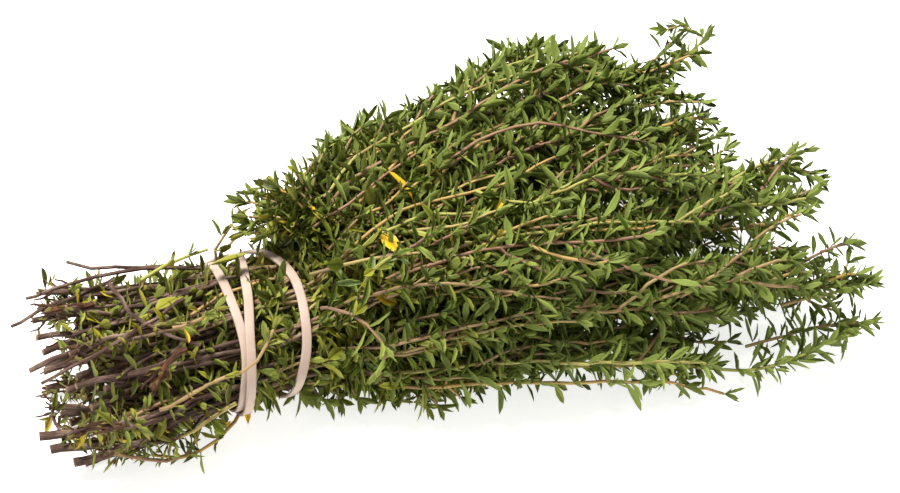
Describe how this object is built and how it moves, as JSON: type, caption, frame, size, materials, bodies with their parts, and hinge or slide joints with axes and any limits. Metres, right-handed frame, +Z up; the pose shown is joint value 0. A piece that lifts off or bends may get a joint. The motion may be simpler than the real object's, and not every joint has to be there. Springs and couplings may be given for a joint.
{
  "type": "thyme bundle",
  "caption": "Bundle of cut thyme sprigs lying on its side, bound near the cut ends by a rubber band, with the leafy tips fanning out.",
  "frame": {"origin": "centre of the bounding box in plan, on the table that the bundle lies on", "axes": "+X from the cut ends to the leafy tips, +Z up from the table"},
  "size_m": [0.2319, 0.1109, 0.0551],
  "materials": {
    "thyme": "satin green leaves on matt brown stems",
    "band_rubber": "satin natural rubber"
  },
  "bodies": {
    "root": {"sprig_01": "thyme", "sprig_02": "thyme", "sprig_03": "thyme", "sprig_04": "thyme", "sprig_05": "thyme", "sprig_06": "thyme", "sprig_07": "thyme", "sprig_08": "thyme", "sprig_09": "thyme", "sprig_10": "thyme", "sprig_11": "thyme", "sprig_12": "thyme", "sprig_13": "thyme", "sprig_14": "thyme", "sprig_15": "thyme", "sprig_16": "thyme", "sprig_17": "thyme", "sprig_18": "thyme", "sprig_19": "thyme", "sprig_20": "thyme", "sprig_21": "thyme", "sprig_22": "thyme", "sprig_23": "thyme", "sprig_24": "thyme", "sprig_25": "thyme", "sprig_26": "thyme", "sprig_27": "thyme", "sprig_28": "thyme", "sprig_29": "thyme", "sprig_30": "thyme", "sprig_31": "thyme", "sprig_32": "thyme", "sprig_33": "thyme", "sprig_34": "thyme", "sprig_35": "thyme", "sprig_36": "thyme", "sprig_37": "thyme", "sprig_38": "thyme", "sprig_39": "thyme", "sprig_40": "thyme", "sprig_41": "thyme", "sprig_42": "thyme", "sprig_43": "thyme", "sprig_44": "thyme", "rubber_band": "band_rubber"}
  },
  "joints": []
}
